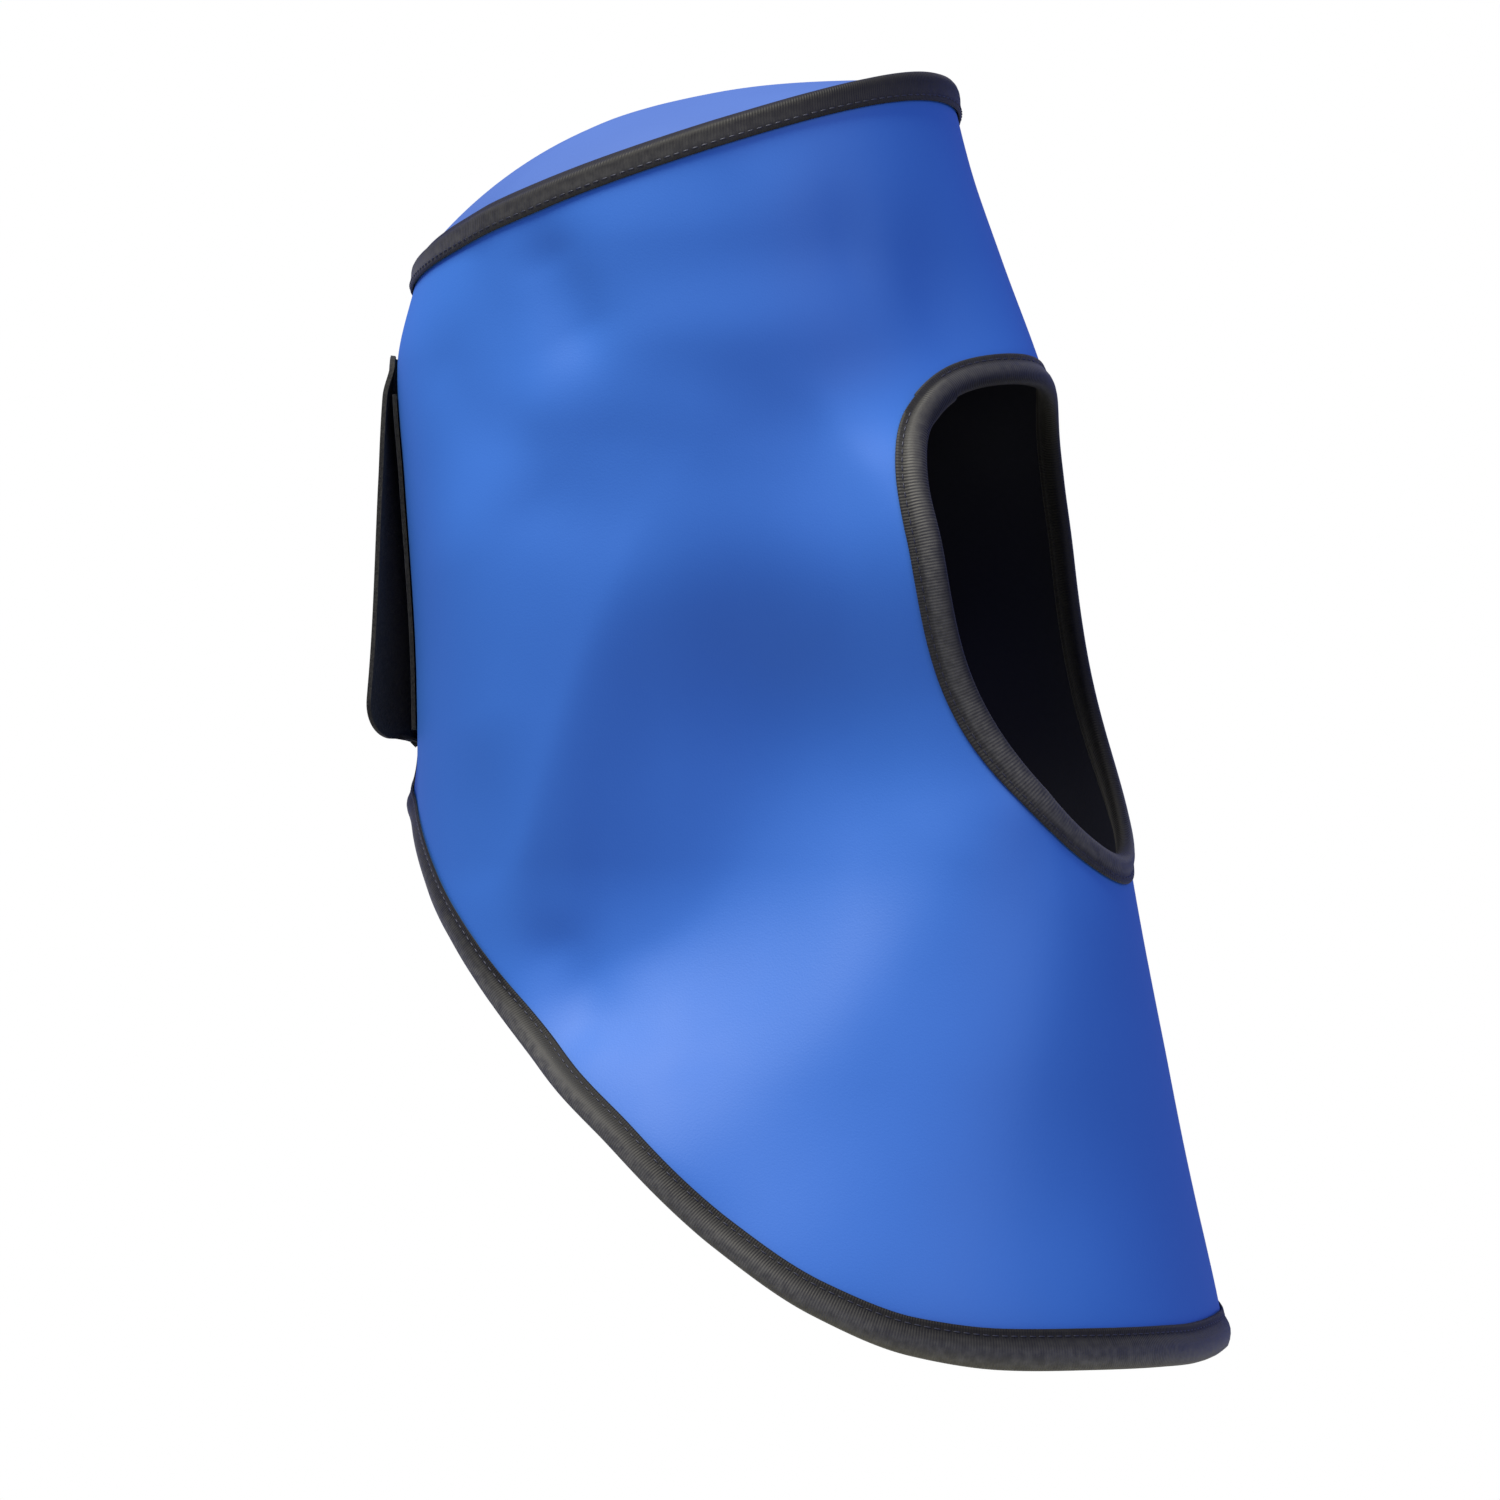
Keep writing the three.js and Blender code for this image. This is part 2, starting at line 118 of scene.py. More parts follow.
CROWN_LEVEL = -29.3  # height of the top edge at the sides, before its saddle
CROWN_RISE = 30.2  # the edge rises by this to the front and falls by it to the back
CROWN_SADDLE = 3.0  # and dips by this at the sides
SLIT_HALF = 5.0
SLIT_CORNER = 12.0  # radius where the slit turns into the hem
SLIT_FOOT = -236.0
SLIT_CORNER_LEVEL = -230.0
LEFT_DIP = 4.0  # the bib hangs a little lower on the left
LEFT_DIP_AT = 26.0  # degrees
LEFT_DIP_SPREAD = 13.0
CLOTH = 2.0
INWARDS = -1  # side of a laid sheet that its thickness goes to


def smooth_column(rows, column, at):
    """Reads one column of a table smoothly, without passing beyond its rows."""
    table = np.array(sorted(rows), float)
    x, y = table[:, 0], table[:, column]
    gap = np.diff(x)
    rate = np.diff(y) / gap
    slope = np.empty_like(y)
    slope[0], slope[-1] = rate[0], rate[-1]
    for i in range(1, len(x) - 1):
        before, after = rate[i - 1], rate[i]
        if before * after <= 0:
            slope[i] = 0
        else:
            total = 3 * (gap[i - 1] + gap[i])
            slope[i] = total / ((2 * gap[i] + gap[i - 1]) / before + (gap[i] + 2 * gap[i - 1]) / after)
    at = np.clip(at, x[0], x[-1])
    i = np.clip(np.searchsorted(x, at) - 1, 0, len(gap) - 1)
    t = (at - x[i]) / gap[i]
    ends = y[i] * (1 + 2 * t) * (1 - t) ** 2 + y[i + 1] * t * t * (3 - 2 * t)
    return ends + gap[i] * t * (1 - t) * (slope[i] * (1 - t) - slope[i + 1] * t)


def smoothstep(at, low, high):
    t = np.clip((at - low) / (high - low), 0, 1)
    return t * t * (3 - 2 * t)


def unit(vectors):
    return vectors / np.linalg.norm(vectors, axis=-1, keepdims=True)


def half_at(height):
    return smooth_column(SECTIONS, HALF_WIDTH, height)


def hollow(degrees, height):
    """How far the settled sheet lies in from its plain sections: the pinched neck and the soft folds."""
    beside = np.abs(degrees)
    start, middle, end, depth = (smooth_column(NECK, column, beside) for column in (1, 2, 3, 4))
    depth = depth * np.where(degrees > 0, smoothstep(beside, *LEFT_NECK) * LEFT_NECK_DEPTH, 1)
    entering = np.clip((start - height) / (start - middle), 0, 1)
    leaving = (middle - height) / (middle - end)
    total = depth * np.where(height > middle, smoothstep(entering, 0, 1), 1 - smoothstep(leaving, 0, 1))
    for turn_a, height_a, turn_b, height_b, spread, depth in FOLDS:
        run_x, run_z = (turn_b - turn_a) * FOLD_SCALE, height_b - height_a
        length = math.hypot(run_x, run_z)
        off_x, off_z = (degrees - turn_a) * FOLD_SCALE, height - height_a
        along = (off_x * run_x + off_z * run_z) / length
        across = (off_x * run_z - off_z * run_x) / length
        beyond = np.maximum(np.maximum(-along, along - length), 0)
        total = total + depth * np.exp(-(across**2 + beyond**2) / spread**2)
    return total


def wall_point(turn, height):
    """Outer face of the wall; turn is in radians from the front, plus to the left as worn."""
    turn, height = np.broadcast_arrays(np.asarray(turn, float), np.asarray(height, float))
    widest = smooth_column(SECTIONS, WIDEST, height)
    front = smooth_column(SECTIONS, FRONT, height) - widest
    back = smooth_column(SECTIONS, BACK, height) + widest
    reach = back + (front - back) * smoothstep(np.cos(turn), -SIDE_BLEND, SIDE_BLEND)
    degrees = np.degrees(turn)
    grown = 1 - smoothstep(height, *RIDGE_GROWS)
    ridge = RIDGE * grown * np.exp(-(((180 - np.abs(degrees)) / RIDGE_SPREAD) ** 2))
    shrink = hollow(degrees, height)
    x = (half_at(height) - shrink) * np.sin(turn)
    y = -widest - (reach - shrink) * np.cos(turn) + ridge
    return np.stack([x, y, height], -1)


def wall_rates(turn, height):
    """How the face runs with turn and with height, and its outward normal."""
    small_turn, small_height = 1e-3, 0.1
    by_turn = wall_point(turn + small_turn, height) - wall_point(turn - small_turn, height)
    by_height = wall_point(turn, height + small_height) - wall_point(turn, height - small_height)
    by_turn = by_turn / (2 * small_turn)
    by_height = by_height / (2 * small_height)
    return by_turn, by_height, unit(np.cross(by_turn, by_height))


def off_wall(turn, height, distance):
    turn, height = np.broadcast_arrays(np.asarray(turn, float), np.asarray(height, float))
    return wall_point(turn, height) + wall_rates(turn, height)[2] * np.asarray(distance)[..., None]


def top_at(turn):
    return CROWN_LEVEL + CROWN_RISE * np.cos(turn) - CROWN_SADDLE * np.sin(turn) ** 2


def slit_turn(height):
    return math.pi - np.arcsin(SLIT_HALF / half_at(height))


END_TURN = float(slit_turn(SLIT_FOOT))
CORNER_TURN = SLIT_CORNER / float(half_at(SLIT_CORNER_LEVEL))


def hem_at(turn):
    """Height of the cut lower edge, rounded up into the slit."""
    height = smooth_column(HEM, HEM_HEIGHT, np.degrees(np.abs(turn)))
    height = height - LEFT_DIP * np.exp(-(((np.degrees(turn) - LEFT_DIP_AT) / LEFT_DIP_SPREAD) ** 2))
    inset = (END_TURN - np.abs(turn)) / CORNER_TURN * SLIT_CORNER
    short = np.clip(SLIT_CORNER - inset, 0, SLIT_CORNER)
    return height + SLIT_CORNER - np.sqrt(SLIT_CORNER**2 - short**2)


def lay_grid(name, points):
    """Adds a grid with a line of vertices for each row of points, and lays it on them."""
    rows, columns = points.shape[:2]
    bpy.ops.object.select_all(action="DESELECT")
    bpy.ops.mesh.primitive_grid_add(
        x_subdivisions=columns - 1, y_subdivisions=rows - 1, size=1, calc_uvs=True
    )
    piece = bpy.context.object
    piece.name = piece.data.name = name
    piece.data.vertices.foreach_set("co", (points * MM).astype(np.float32).ravel())
    piece.data.update()
    return piece


def thicken(piece, thickness, side, lining_slot=0):
    """Gives a sheet its thickness to one side, with its back and rim in the lining's material slot."""
    solid = piece.modifiers.new("Thickness", "SOLIDIFY")
    solid.thickness = thickness * MM
    solid.offset = side
    solid.use_even_offset = False
    solid.material_offset = lining_slot
    solid.material_offset_rim = lining_slot
    bpy.ops.object.modifier_apply(modifier=solid.name)
    bpy.ops.object.shade_smooth_by_angle(angle=math.radians(50))


WINDOW_HEIGHT = -154.2  # level of the widest place
WINDOW_HALF = 55.9
WINDOW_SIDE = 1.3  # its middle lies a little to the left
WINDOW_UP = 46.2
WINDOW_LEAN = 4.7  # the top edge rises by this to the left
WINDOW_PEAK = 11.6  # and by this to its middle
WINDOW_DOWN = 102.8
WINDOW_UP_ROUND = 3.8  # the higher, the squarer
WINDOW_DOWN_ROUND = 2.0
WINDOW_REACH = 1.2  # radians from the front that hold the whole window


def window_heights(across):
    """Upper and lower edge of the cut in the front view."""
    side = np.clip((across - WINDOW_SIDE) / WINDOW_HALF, -1, 1)
    share = np.abs(side)
    upper = (WINDOW_UP + WINDOW_LEAN * side) * (1 - share**WINDOW_UP_ROUND) ** (1 / WINDOW_UP_ROUND)
    upper = upper + WINDOW_PEAK * (1 - share**2)
    lower = WINDOW_DOWN * (1 - share**WINDOW_DOWN_ROUND) ** (1 / WINDOW_DOWN_ROUND)
    return WINDOW_HEIGHT + upper, WINDOW_HEIGHT - lower


WALL_ACROSS = 256
WALL_UP = 128
CROWDING = 1.12  # the grid's columns crowd a little towards the slit
columns = np.linspace(-1, 1, WALL_ACROSS + 1)
columns = np.sign(columns) * (1 - (1 - np.abs(columns)) ** CROWDING)
turn = columns[None, :] * END_TURN
share = np.linspace(0, 1, WALL_UP + 1)[:, None]
height = hem_at(turn) + (top_at(turn) - hem_at(turn)) * share
turn = turn / END_TURN * slit_turn(height)
wall = lay_grid("wall_cloth", wall_point(turn, height))

upper, lower = window_heights(half_at(height) * np.sin(turn))
open_here = (np.abs(turn) < WINDOW_REACH) & (height < upper) & (height > lower)
bpy.ops.object.mode_set(mode="EDIT")
bpy.ops.mesh.select_mode(type="VERT")
bpy.ops.mesh.select_all(action="DESELECT")
bpy.ops.object.mode_set(mode="OBJECT")
wall.data.vertices.foreach_set("select", open_here.ravel())
bpy.ops.object.mode_set(mode="EDIT")
bpy.ops.mesh.delete(type="VERT")
bpy.ops.object.mode_set(mode="OBJECT")


def set_sockets(node, **values):
    """Sets a node's inputs by name; an underscore stands for a space."""
    for socket, value in values.items():
        node.inputs[socket.replace("_", " ")].default_value = value


def add_node(nodes, kind, **values):
    node = nodes.new("ShaderNode" + kind)
    set_sockets(node, **values)
    return node


def start_finish(name):
    """A new material, with its nodes, its links, its shader and its coordinates."""
    material = bpy.data.materials.new(name)
    material.use_nodes = True
    nodes, links = material.node_tree.nodes, material.node_tree.links
    return material, nodes, links, nodes["Principled BSDF"], nodes.new("ShaderNodeTexCoord")


def coated_cloth(name, colour, roughness):
    """Coated cloth, outside or lining: close fine grain, faint clouding and a soft satin sheen."""
    material, nodes, links, shader, place = start_finish(name)
    cloud = add_node(nodes, "TexNoise", Scale=14, Detail=3)
    tint = nodes.new("ShaderNodeMix")
    tint.data_type = "RGBA"
    tint.inputs["A"].default_value = (*[c * 0.93 for c in colour], 1)
    tint.inputs["B"].default_value = (*[c * 1.07 for c in colour], 1)
    links.new(place.outputs["Object"], cloud.inputs["Vector"])
    links.new(cloud.outputs["Fac"], tint.inputs["Factor"])
    links.new(tint.outputs["Result"], shader.inputs["Base Color"])
    grain = add_node(nodes, "TexNoise", Scale=1500, Detail=2)
    bump = add_node(nodes, "Bump", Strength=0.1, Distance=0.0004)
    links.new(place.outputs["Object"], grain.inputs["Vector"])
    links.new(grain.outputs["Fac"], bump.inputs["Height"])
    links.new(bump.outputs["Normal"], shader.inputs["Normal"])
    handled = add_node(nodes, "MapRange", From_Min=0.3, From_Max=0.7)  # smoother in patches, by handling
    set_sockets(handled, To_Min=roughness - 0.05, To_Max=roughness + 0.05)
    links.new(cloud.outputs["Fac"], handled.inputs["Value"])
    links.new(handled.outputs["Result"], shader.inputs["Roughness"])
    set_sockets(shader, Specular_IOR_Level=0.2)
    return material


blue_cloth = coated_cloth("blue_coated_cloth", (0.0395, 0.142, 0.380), 0.5)
black_lining = coated_cloth("black_lining", (0.006, 0.006, 0.010), 0.7)
wall.data.materials.append(blue_cloth)
wall.data.materials.append(black_lining)
thicken(wall, CLOTH, INWARDS, lining_slot=1)
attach(wall, "root")
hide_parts("hood_wall")

# Crown panel: an oval of the same sheet, domed and fuller at the back, butted on the wall's top edge
# and sewn to it under the crown tape.
SEAM = 0.6  # between the wall's edge and the underside of the crown
DOME = 28.9  # how far the middle is domed up
DOME_ROUND = 0.9  # the lower, the flatter on top
DOME_FULLER = 0.45  # share by which the dome is higher at DOME_BACK behind the middle
DOME_BACK = 95.0
CROWN_ROUND = 192
CROWN_RINGS = 40


def crown_point(share, turn, lift):
    """Top face of the crown from its middle, share 0, to its rim, share 1."""
    middle = np.array([0, 0, CROWN_LEVEL])
    rim = wall_point(turn, top_at(turn))
    share = np.asarray(share)[..., None]
    point = middle + (rim - middle) * share
    dome = DOME * (1 - share[..., 0] ** 2) ** DOME_ROUND * (1 + DOME_FULLER * point[..., 1] / DOME_BACK)
    point[..., 2] += SEAM + CLOTH + dome + lift
    return point


def close_seam(piece):
    """Joins the first and last lines of a ring and any vertices that meet in a point."""
    bpy.ops.object.mode_set(mode="EDIT")
    bpy.ops.mesh.select_all(action="SELECT")
    bpy.ops.mesh.remove_doubles(threshold=1e-6)
    bpy.ops.object.mode_set(mode="OBJECT")


crown_turn = np.linspace(math.pi, -math.pi, CROWN_ROUND + 1)[None, :]
crown_share = np.sin(np.linspace(0, math.pi / 2, CROWN_RINGS + 1))[:, None]
crown_turn, crown_share = np.broadcast_arrays(crown_turn, crown_share)
crown = lay_grid("crown_cloth", crown_point(crown_share, crown_turn, 0.0))
close_seam(crown)
# painted light: the crown gets a greyer, darker copy of the blue cloth, a painted reflection and painted
# shade for the light from above
crown.data.materials.append(coated_cloth("crown_cloth_painted_sheen_and_shade", (0.055, 0.108, 0.255), 0.55))
crown.data.materials.append(black_lining)
thicken(crown, CLOTH, INWARDS, lining_slot=1)
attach(crown, "root")
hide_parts("crown_panel")

# Crown tape: black woven tape laid over the corner of crown and wall and sewn through both; it stands
# up in a soft roll along the corner.
TAPE = 0.6
CROWN_TOP_LEG = 3.2
CROWN_TOP_LINES = [  # distance in from the rim, height over the crown
    (CROWN_TOP_LEG, 0.75),
    (2.9, 1.1),
    (2.0, 1.5),
    (1.0, 1.75),
    (0.2, 1.8),
]
CROWN_ROLL = 4.1
CROWN_ROLL_LINES = [  # height over the rim, distance out from it
    (CROWN_ROLL, 0.7),
    (3.6, 1.3),
    (2.8, 1.75),
    (1.8, 1.95),
]
CROWN_WALL_LEG = 4.2
CROWN_WALL_LINES = [  # distance down from the rim, height off the wall
    (0.2, 2.0),
    (1.6, 1.95),
    (2.9, 1.7),
    (3.8, 1.3),
    (CROWN_WALL_LEG, 0.75),
]
CROWN_BUNCH = 1.5  # how much higher the roll is bunched up at the front
CROWN_BUNCH_NARROW = 6
CROWN_TAPE_ROUND = 288
CROWN_TAPE_RUN = 560
CROWN_TAPE_WIDTH = 12
CROWN_SHADES = [  # place across the tape, shade; painted highlight and painted shade for how the light falls across the roll
    (0, 0.005),
    (0.3, 0.006),
    (0.5, 0.014),
    (0.72, 0.028),
    (0.88, 0.028),
    (1, 0.013),
]


def woven_tape(name, length, width, shades):
    """Black woven tape, its ribs across the length; painted highlight along its roll, painted shade on
    its inner leg, by the cloth and at the front above the window.
    """
    material, nodes, links, shader, place = start_finish(name)
    millimetres = add_node(nodes, "Mapping", Scale=(length, width, 1))
    links.new(place.outputs["UV"], millimetres.inputs["Vector"])
    ribs = add_node(nodes, "TexWave", Scale=0.33, Distortion=0.6, Detail=1)
    links.new(millimetres.outputs["Vector"], ribs.inputs["Vector"])
    apart = nodes.new("ShaderNodeSeparateXYZ")
    links.new(place.outputs["UV"], apart.inputs["Vector"])
    # painted highlight and painted shade across the tape, from the table of shades: lighter on the roll,
    # darker on the inner leg and by the cloth
    painted_light_across = nodes.new("ShaderNodeValToRGB")
    while len(painted_light_across.color_ramp.elements) < len(shades):
        painted_light_across.color_ramp.elements.new(1)
    for element, (position, shade) in zip(painted_light_across.color_ramp.elements, shades):
        element.position = position
        element.color = (shade, shade * 0.95, shade * 0.65, 1)
    links.new(apart.outputs["Y"], painted_light_across.inputs["Fac"])
    lint = add_node(nodes, "TexNoise", Scale=420, Detail=4)
    links.new(place.outputs["Object"], lint.inputs["Vector"])
    amount = add_node(nodes, "MapRange", From_Min=0.35, From_Max=0.75, To_Min=0.7, To_Max=1.5)
    links.new(lint.outputs["Fac"], amount.inputs["Value"])
    where = nodes.new("ShaderNodeSeparateXYZ")
    links.new(place.outputs["Object"], where.inputs["Vector"])
    behind = add_node(nodes, "MapRange", From_Min=-0.08, From_Max=-0.05)
    links.new(where.outputs["Y"], behind.inputs["Value"])
    below = add_node(nodes, "MapRange", From_Min=-0.115, From_Max=-0.155)
    links.new(where.outputs["Z"], below.inputs["Value"])
    elsewhere = nodes.new("ShaderNodeMath")
    elsewhere.operation = "MAXIMUM"
    links.new(behind.outputs["Result"], elsewhere.inputs[0])
    links.new(below.outputs["Result"], elsewhere.inputs[1])
    front_painted_shade = add_node(nodes, "MapRange", To_Min=0.5)  # painted shade: the tape is half as bright at the front above the window
    links.new(elsewhere.outputs["Value"], front_painted_shade.inputs["Value"])
    depth = nodes.new("ShaderNodeMath")
    depth.operation = "MULTIPLY"
    links.new(amount.outputs["Result"], depth.inputs[0])
    links.new(front_painted_shade.outputs["Result"], depth.inputs[1])
    tint = nodes.new("ShaderNodeVectorMath")
    tint.operation = "SCALE"
    links.new(painted_light_across.outputs["Color"], tint.inputs[0])
    links.new(depth.outputs["Value"], tint.inputs["Scale"])
    links.new(tint.outputs["Vector"], shader.inputs["Base Color"])
    polish = add_node(nodes, "MapRange", From_Max=0.04, To_Min=0.1, To_Max=0.45)
    links.new(painted_light_across.outputs["Color"], polish.inputs["Value"])
    links.new(polish.outputs["Result"], shader.inputs["Specular IOR Level"])
    bump = add_node(nodes, "Bump", Strength=0.35, Distance=0.0003)
    links.new(ribs.outputs["Fac"], bump.inputs["Height"])
    links.new(bump.outputs["Normal"], shader.inputs["Normal"])
    dull = add_node(nodes, "MapRange", From_Min=0.35, From_Max=0.75, To_Min=0.56, To_Max=0.7)
    links.new(lint.outputs["Fac"], dull.inputs["Value"])
    links.new(dull.outputs["Result"], shader.inputs["Roughness"])
    warm = (1, 0.94, 0.74, 1)
    set_sockets(shader, Specular_Tint=warm, Sheen_Weight=0.06, Sheen_Roughness=0.5, Sheen_Tint=warm)
    return material


def crown_tape_points(turn):
    """Lines of the tape's outer face from its top leg over the corner to its wall leg."""
    top = top_at(turn)
    rim = wall_point(turn, top)
    level = unit(wall_rates(turn, top)[2] * np.array([1, 1, 0]))
    rim_reach = np.hypot(rim[..., 0], rim[..., 1])
    full = CROWN_BUNCH * np.clip(np.cos(turn), 0, 1) ** CROWN_BUNCH_NARROW
    lines = []
    for back, lift in CROWN_TOP_LINES:
        puff = full * (1 - back / CROWN_TOP_LEG)
        lines.append(crown_point(1 - back / rim_reach, turn, lift + puff))
    for rise, out in CROWN_ROLL_LINES:
        raised = rise + full * rise / CROWN_ROLL
        lines.append(rim + level * out + np.array([0, 0, 1]) * raised[:, None])
    for down, out in CROWN_WALL_LINES:
        lines.append(off_wall(turn, top - down, np.full_like(turn, out)))
    return np.stack(lines)


crown_tape_turn = np.linspace(math.pi, -math.pi, CROWN_TAPE_ROUND + 1)
crown_tape = lay_grid("crown_tape", crown_tape_points(crown_tape_turn))
close_seam(crown_tape)
crown_weave = woven_tape("crown_tape_weave", CROWN_TAPE_RUN, CROWN_TAPE_WIDTH, CROWN_SHADES)
crown_tape.data.materials.append(crown_weave)
thicken(crown_tape, TAPE, INWARDS)
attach(crown_tape, "root")
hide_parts("crown_binding")

STITCH_PITCH = 3.2
STITCH_LENGTH = 0.37  # half length as a share of the pitch
STITCH_WIDTH = 0.27  # half width
STITCH_HEIGHT = 0.22  # half height
CROWN_SEAM_DOWN = 2.6  # from the rim to the stitches on the wall leg
CROWN_SEAM_OFF = 1.86  # and off the wall
CROWN_SEAM_STEPS = 720


def sewing_thread(name):
    """Dark polished thread with a fine twist."""
    material, nodes, links, shader, place = start_finish(name)
    fibre = add_node(nodes, "TexNoise", Scale=2600)
    links.new(place.outputs["Object"], fibre.inputs["Vector"])
    shades = nodes.new("ShaderNodeValToRGB")
    shades.color_ramp.elements[0].color = (0.007, 0.007, 0.008, 1)
    shades.color_ramp.elements[1].color = (0.020, 0.020, 0.022, 1)
    links.new(fibre.outputs["Fac"], shades.inputs["Fac"])
    links.new(shades.outputs["Color"], shader.inputs["Base Color"])
    set_sockets(shader, Roughness=0.5)
    return material


black_thread = sewing_thread("black_thread")


def path_run(path):
    """Distance run along a line of points, at each of them."""
    return np.concatenate([[0], np.cumsum(np.linalg.norm(np.diff(path, axis=0), axis=-1))])


def sew(name, path, facing, pitch):
    """A row of stitches along a line of points; facing is the way out of the cloth."""
    run = path_run(path)
    count = int(run[-1] / pitch)
    at = (np.arange(count) + 0.5) * run[-1] / count
    look = 0.8  # how far the line is looked along for its direction

    def along(values, where):
        return np.stack([np.interp(where, run, values[:, k]) for k in range(3)], -1)

    ahead = unit(along(path, np.minimum(at + look, run[-1])) - along(path, np.maximum(at - look, 0)))
    out = along(facing, at)
    out = unit(out - ahead * np.sum(out * ahead, -1, keepdims=True))
    side = np.cross(out, ahead)
    bpy.ops.object.select_all(action="DESELECT")
    bpy.ops.mesh.primitive_uv_sphere_add(segments=6, ring_count=5, radius=1)
    stitch = bpy.context.object
    half_sizes = np.array([STITCH_WIDTH, STITCH_HEIGHT, pitch * STITCH_LENGTH])
    corners = np.array([v.co for v in stitch.data.vertices]) * half_sizes
    faces = [list(p.vertices) for p in stitch.data.polygons]
    bpy.data.objects.remove(stitch)
    spots = along(path, at)[:, None] + (
        side[:, None] * corners[None, :, 0, None]
        + out[:, None] * corners[None, :, 1, None]
        + ahead[:, None] * corners[None, :, 2, None]
    )
    mesh = bpy.data.meshes.new(name)
    total = [[f + i * len(corners) for f in face] for i in range(count) for face in faces]
    mesh.from_pydata((spots.reshape(-1, 3) * MM).tolist(), [], total)
    mesh.shade_smooth()
    row = bpy.data.objects.new(name, mesh)
    bpy.context.collection.objects.link(row)
    row.data.materials.append(black_thread)
    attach(row, "root")
    return row


stitch_turn = np.linspace(-math.pi, math.pi, CROWN_SEAM_STEPS + 1)
stitch_height = top_at(stitch_turn) - CROWN_SEAM_DOWN
crown_stitches = sew(
    "crown_tape_stitches",
    off_wall(stitch_turn, stitch_height, np.full_like(stitch_turn, CROWN_SEAM_OFF)),
    wall_rates(stitch_turn, stitch_height)[2],
    STITCH_PITCH,
)

# Window tape: the same tape folded over the cut edge of the face window and sewn through, its ends
# lapped at the top.
TAPE_ROLL = np.array([  # distance in from the cut edge, height off the outer face
    (8.7, -2.72), (8.5, -3.05), (7.4, -3.25), (6.2, -3.2), (4.8, -3.6), (3.0, -3.95), (1.2, -3.85),
    (-0.3, -3.4), (-1.3, -2.6), (-1.75, -1.6), (-1.75, -0.4), (-1.4, 0.6), (-0.5, 1.5), (0.8, 2.1),
    (2.2, 2.3), (3.6, 2.15), (4.8, 1.7), (5.8, 1.25), (6.6, 1.05), (7.6, 1.2), (8.4, 1.12), (8.7, 0.72),
])
TAPE_WIDTH = 24  # round the roll
SEAM_IN = 6.6  # from the cut edge to the stitches
SEAM_OFF = 1.1  # and off the outer face
WINDOW_SHADES = [  # place across the tape from its inner leg, shade; painted shade on the inner leg and in the groove by the cloth, painted highlight on the roll
    (0.4, 0.004),
    (0.54, 0.012),
    (0.62, 0.034),
    (0.68, 0.046),
    (0.76, 0.044),
    (0.80, 0.026),
    (0.86, 0.020),
    (1, 0.022),
]
WINDOW_STEPS = 280
OUTLINE_STEPS = 4001
LAP = 12.0  # how far the ends of the tape overlap
LAP_PLACE = -38.0  # where the under end starts, x
LAP_LIFT = 0.75  # how far the upper end lies off the under one
LAP_HALF = 2.4  # half the depth of the roll, which the lift follows round
LAP_EASE = 6  # steps over which the upper end climbs on to the under one
WINDOW_TAPE_RUN = 450


def window_outline(count):
    """Even points of the cut edge in the front view, running clockwise as seen from the front."""
    across = WINDOW_SIDE + WINDOW_HALF * np.cos(np.linspace(0, math.pi, OUTLINE_STEPS))
    upper, lower = window_heights(across)
    across = np.concatenate([across, across[::-1]])
    height = np.concatenate([lower, upper[::-1]])
    run = np.concatenate([[0], np.cumsum(np.hypot(np.diff(across), np.diff(height)))])
    at = np.linspace(0, run[-1], count + 1)
    return np.interp(at, run, across), np.interp(at, run, height)


def edge_steps(turn, height, closed):
    """Turn and height covered by one millimetre into the sheet, square to its cut edge."""
    point = wall_point(turn, height)
    if closed:
        ahead = np.roll(point, -1, 0) - np.roll(point, 1, 0)
    else:
        ahead = np.gradient(point, axis=0)
    by_turn, by_height, normal = wall_rates(turn, height)
    inward = unit(np.cross(normal, ahead))
    tt = np.sum(by_turn * by_turn, -1)
    th = np.sum(by_turn * by_height, -1)
    hh = np.sum(by_height * by_height, -1)
    it = np.sum(inward * by_turn, -1)
    ih = np.sum(inward * by_height, -1)
    det = tt * hh - th * th
    return (it * hh - ih * th) / det, (ih * tt - it * th) / det


def tape_lines(turn, height, closed, inside, off):
    """Lines along an edge at distances in from it and off the face, as rows of points."""
    turn_step, height_step = edge_steps(turn, height, closed)
    off = np.broadcast_to(off, (len(inside), len(turn)))
    lines = off_wall(turn + turn_step * inside, height + height_step * inside, off)
    if closed:
        lines = np.concatenate([lines, lines[:, :1]], 1)
    return lines


edge_across, edge_height = (values[:-1] for values in window_outline(WINDOW_STEPS))
at_top = edge_height >= WINDOW_HEIGHT
upper_end = int(np.argmin(np.where(at_top, np.abs(edge_across - LAP_PLACE), np.inf)))
edge_across = np.roll(edge_across, -upper_end)
edge_height = np.roll(edge_height, -upper_end)
edge_turn = np.arcsin(edge_across / half_at(edge_height))
edge_point = wall_point(edge_turn, edge_height)
lap_steps = int(LAP / np.linalg.norm(edge_point[1] - edge_point[0]))
lapped_turn = np.concatenate([edge_turn, edge_turn[: lap_steps + 1]])
lapped_height = np.concatenate([edge_height, edge_height[: lap_steps + 1]])
over = LAP_LIFT * smoothstep(np.arange(len(lapped_turn)), WINDOW_STEPS - LAP_EASE, WINDOW_STEPS + 1)
over = over[None, :]
roll_in, roll_off = TAPE_ROLL[:, 0:1], TAPE_ROLL[:, 1:2]
outward = np.clip((roll_off + CLOTH / 2) / LAP_HALF, -1, 1)
lapped_in = roll_in - over * np.sqrt(1 - outward**2)
window_lines = tape_lines(lapped_turn, lapped_height, False, lapped_in, roll_off + over * outward)
window_tape = lay_grid("window_tape", window_lines)
